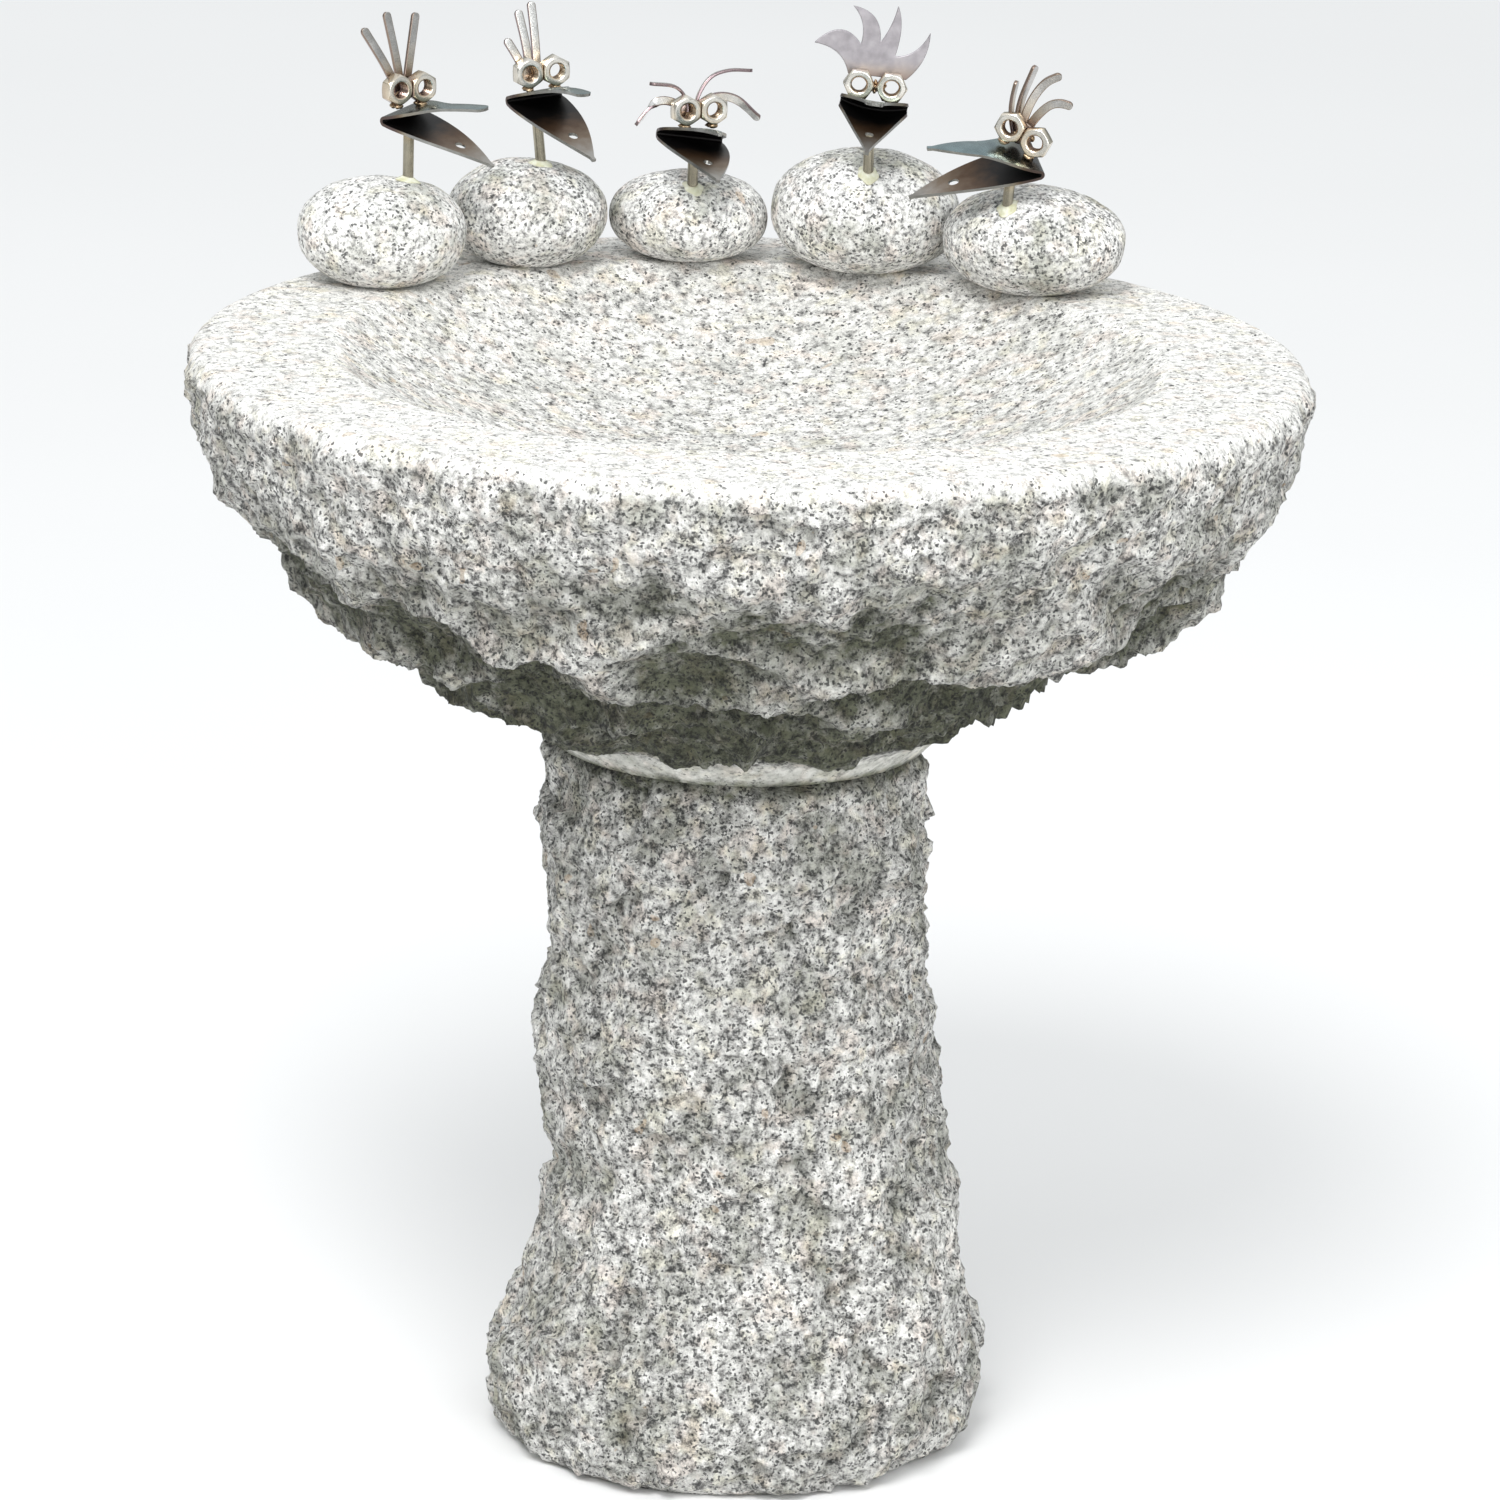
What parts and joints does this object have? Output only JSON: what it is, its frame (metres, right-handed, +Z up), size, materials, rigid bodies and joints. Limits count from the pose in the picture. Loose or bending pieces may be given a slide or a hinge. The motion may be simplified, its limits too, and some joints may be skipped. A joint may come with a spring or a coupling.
{
  "type": "granite birdbath",
  "caption": "Shallow round stone basin on a rough-hewn stone pedestal, with birds made of beach stones and bent steel standing on the back of its rim.",
  "frame": {"origin": "centre of the flat ground face under the pedestal, below the middle of the bowl", "axes": "+Z up; the open front of the bowl faces -Y and the birds stand along the +Y half of the rim; +X is to the right seen from the front"},
  "size_m": [0.5, 0.5, 0.6352],
  "materials": {
    "granite_hewn": "rough, pointed with a chisel, grey with fine black mica",
    "granite_dressed": "bush-hammered, pale grey with fine black mica",
    "beach_stone": "water-worn, smooth matt, white with grey speckles",
    "stainless": "bright brushed stainless steel",
    "tinted_steel": "stainless steel with brown and gold welding heat tint",
    "resin": "yellowish translucent stone resin"
  },
  "bodies": {
    "pedestal": {"pedestal_column": "granite_hewn", "centre_dowel": "stainless"},
    "bowl": {"bowl": "granite_dressed"},
    "bird_1": {"bird_1_stone": "beach_stone", "bird_1_resin_collar": "resin", "bird_1_neck_rod": "stainless", "bird_1_beak": "stainless", "bird_1_left_eye_nut": "tinted_steel", "bird_1_right_eye_nut": "tinted_steel", "bird_1_crest_strip_1": "tinted_steel", "bird_1_crest_strip_2": "tinted_steel", "bird_1_crest_strip_3": "tinted_steel"},
    "bird_2": {"bird_2_stone": "beach_stone", "bird_2_resin_collar": "resin", "bird_2_neck_rod": "stainless", "bird_2_beak": "stainless", "bird_2_left_eye_nut": "tinted_steel", "bird_2_right_eye_nut": "tinted_steel", "bird_2_crest_strip_1": "tinted_steel", "bird_2_crest_strip_2": "tinted_steel", "bird_2_crest_strip_3": "tinted_steel"},
    "bird_3": {"bird_3_stone": "beach_stone", "bird_3_resin_collar": "resin", "bird_3_neck_rod": "stainless", "bird_3_beak": "stainless", "bird_3_left_eye_nut": "tinted_steel", "bird_3_right_eye_nut": "tinted_steel", "bird_3_crest": "tinted_steel"},
    "bird_4": {"bird_4_stone": "beach_stone", "bird_4_resin_collar": "resin", "bird_4_neck_rod": "stainless", "bird_4_beak": "stainless", "bird_4_left_eye_nut": "tinted_steel", "bird_4_right_eye_nut": "tinted_steel", "bird_4_crest_plate": "tinted_steel"},
    "bird_5": {"bird_5_stone": "beach_stone", "bird_5_resin_collar": "resin", "bird_5_neck_rod": "stainless", "bird_5_beak": "stainless", "bird_5_left_eye_nut": "tinted_steel", "bird_5_right_eye_nut": "tinted_steel", "bird_5_crest": "tinted_steel"}
  },
  "joints": [
    {"name": "bowl_lift", "type": "slide", "parent": "pedestal", "child": "bowl", "axis": [0, 0, 1], "range_m": [0, 0.045]},
    {"name": "bird_1_lift", "type": "slide", "parent": "bowl", "child": "bird_1", "axis": [0, 0, 1], "range_m": [0, 0.06]},
    {"name": "bird_2_lift", "type": "slide", "parent": "bowl", "child": "bird_2", "axis": [0, 0, 1], "range_m": [0, 0.06]},
    {"name": "bird_3_lift", "type": "slide", "parent": "bowl", "child": "bird_3", "axis": [0, 0, 1], "range_m": [0, 0.06]},
    {"name": "bird_4_lift", "type": "slide", "parent": "bowl", "child": "bird_4", "axis": [0, 0, 1], "range_m": [0, 0.06]},
    {"name": "bird_5_lift", "type": "slide", "parent": "bowl", "child": "bird_5", "axis": [0, 0, 1], "range_m": [0, 0.06]}
  ]
}
